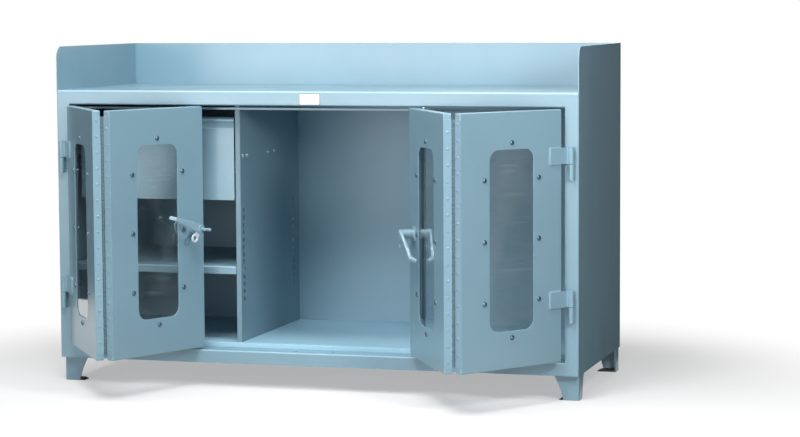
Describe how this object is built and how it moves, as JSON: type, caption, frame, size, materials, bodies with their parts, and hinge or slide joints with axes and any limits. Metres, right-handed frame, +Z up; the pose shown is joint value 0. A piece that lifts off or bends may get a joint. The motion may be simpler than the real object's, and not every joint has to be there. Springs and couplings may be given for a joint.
{
  "type": "workbench",
  "caption": "Steel workbench with a guarded top over a cabinet with windowed bi-fold doors, a drawer, a shelf and lever latches, on corner legs.",
  "frame": {"origin": "on the floor, under the middle of the bench's box as it stands with its doors folded open", "axes": "+X to the right along the front, +Y to the back, +Z up; the doors face -Y"},
  "size_m": [1.829, 1.094, 1.158],
  "materials": {
    "frame_paint": "semi-gloss light blue-grey enamel",
    "inside_paint": "semi-gloss light blue-grey enamel",
    "door_paint": "semi-gloss light blue-grey enamel",
    "hinge_paint": "semi-gloss enamel over welds",
    "leg_paint": "semi-gloss light blue-grey enamel",
    "plate_white": "plain white",
    "clear_pane": "clear sheet",
    "bolt_zinc": "zinc plated",
    "slide_zinc": "zinc plated",
    "rod_zinc": "zinc plated",
    "latch_metal": "painted cast metal"
  },
  "bodies": {
    "cabinet": {"left_side_panel": "frame_paint", "right_side_panel": "frame_paint", "back_panel": "frame_paint", "work_top": "frame_paint", "soffit_panel": "frame_paint", "stop_lip": "frame_paint", "bottom_rail": "frame_paint", "floor_panel": "inside_paint", "divider_panel": "inside_paint", "name_plate": "plate_white", "front_left_leg": "leg_paint", "front_right_leg": "leg_paint", "rear_left_leg": "leg_paint", "rear_right_leg": "leg_paint", "shelf": "inside_paint", "shelf_bracket_left": "inside_paint", "shelf_bracket_right": "inside_paint", "drawer_rail_left": "slide_zinc", "drawer_rail_right": "slide_zinc", "left_upper_hinge_stile": "hinge_paint", "left_lower_hinge_stile": "hinge_paint", "right_upper_hinge_stile": "hinge_paint", "right_lower_hinge_stile": "hinge_paint"},
    "drawer": {"drawer_front": "inside_paint", "drawer_box": "inside_paint", "drawer_runner_left": "slide_zinc", "drawer_runner_right": "slide_zinc"},
    "left_outer_door": {"left_outer_leaf": "door_paint", "left_outer_pane": "clear_pane", "left_outer_clamp": "bolt_zinc", "left_upper_hinge_door": "hinge_paint", "left_lower_hinge_door": "hinge_paint", "left_fold_hinge_outer": "hinge_paint"},
    "left_inner_door": {"left_inner_leaf": "door_paint", "left_inner_pane": "clear_pane", "left_inner_clamp": "bolt_zinc", "left_fold_hinge_inner": "hinge_paint", "left_escutcheon": "latch_metal", "left_latch_strap": "rod_zinc"},
    "left_handle": {"left_lever": "latch_metal"},
    "left_upper_bolt": {"left_top_rod": "rod_zinc"},
    "left_lower_bolt": {"left_bottom_rod": "rod_zinc"},
    "right_outer_door": {"right_outer_leaf": "door_paint", "right_outer_pane": "clear_pane", "right_outer_clamp": "bolt_zinc", "right_upper_hinge_door": "hinge_paint", "right_lower_hinge_door": "hinge_paint", "right_fold_hinge_outer": "hinge_paint"},
    "right_inner_door": {"right_inner_leaf": "door_paint", "right_inner_pane": "clear_pane", "right_inner_clamp": "bolt_zinc", "right_fold_hinge_inner": "hinge_paint", "right_escutcheon": "latch_metal", "right_latch_strap": "rod_zinc"},
    "right_handle": {"right_lever": "latch_metal"},
    "right_upper_bolt": {"right_top_rod": "rod_zinc"},
    "right_lower_bolt": {"right_bottom_rod": "rod_zinc"}
  },
  "joints": [
    {"name": "drawer_slide", "type": "slide", "parent": "cabinet", "child": "drawer", "axis": [0, -1, 0], "range_m": [0, 0.03]},
    {"name": "left_outer_swing", "type": "hinge", "parent": "cabinet", "child": "left_outer_door", "pos_m": [-0.8935, -0.17902, 0.5465], "axis": [0, 0, -1], "range_deg": [-55, 17]},
    {"name": "left_inner_fold", "type": "hinge", "parent": "left_outer_door", "child": "left_inner_door", "pos_m": [-0.5914, -0.52904, 0.5465], "axis": [0, 0, 1], "range_deg": [-121, 37.47]},
    {"name": "left_handle_turn", "type": "hinge", "parent": "left_inner_door", "child": "left_handle", "pos_m": [-0.4122, -0.20606, 0.5465], "axis": [0.9128, -0.4083, 0], "range_deg": [0, 111]},
    {"name": "left_upper_bolt_slide", "type": "slide", "parent": "left_inner_door", "child": "left_upper_bolt", "axis": [0, 0, 1], "range_m": [0, 0.0251]},
    {"name": "left_lower_bolt_slide", "type": "slide", "parent": "left_inner_door", "child": "left_lower_bolt", "axis": [0, 0, -1], "range_m": [0, 0.0251]},
    {"name": "right_outer_swing", "type": "hinge", "parent": "cabinet", "child": "right_outer_door", "pos_m": [0.8935, -0.17902, 0.5465], "axis": [0, 0, 1], "range_deg": [-55, 17]},
    {"name": "right_inner_fold", "type": "hinge", "parent": "right_outer_door", "child": "right_inner_door", "pos_m": [0.5914, -0.52904, 0.5465], "axis": [0, 0, -1], "range_deg": [-114.8, 35.55]},
    {"name": "right_handle_turn", "type": "hinge", "parent": "right_inner_door", "child": "right_handle", "pos_m": [0.37837, -0.22731, 0.5465], "axis": [0.8634, 0.5045, 0], "range_deg": [-62, 49]},
    {"name": "right_upper_bolt_slide", "type": "slide", "parent": "right_inner_door", "child": "right_upper_bolt", "axis": [0, 0, 1], "range_m": [-0.01406, 0.01114]},
    {"name": "right_lower_bolt_slide", "type": "slide", "parent": "right_inner_door", "child": "right_lower_bolt", "axis": [0, 0, -1], "range_m": [-0.01406, 0.01114]}
  ],
  "couplings": [
    {"joint": "left_inner_fold", "follows": "left_outer_swing", "ratio": 2.1982},
    {"joint": "left_upper_bolt_slide", "follows": "left_handle_turn", "m_per_rad": 0.012904},
    {"joint": "left_lower_bolt_slide", "follows": "left_handle_turn", "m_per_rad": 0.012904},
    {"joint": "right_inner_fold", "follows": "right_outer_swing", "ratio": 2.0855},
    {"joint": "right_upper_bolt_slide", "follows": "right_handle_turn", "m_per_rad": 0.012904},
    {"joint": "right_lower_bolt_slide", "follows": "right_handle_turn", "m_per_rad": 0.012904}
  ]
}
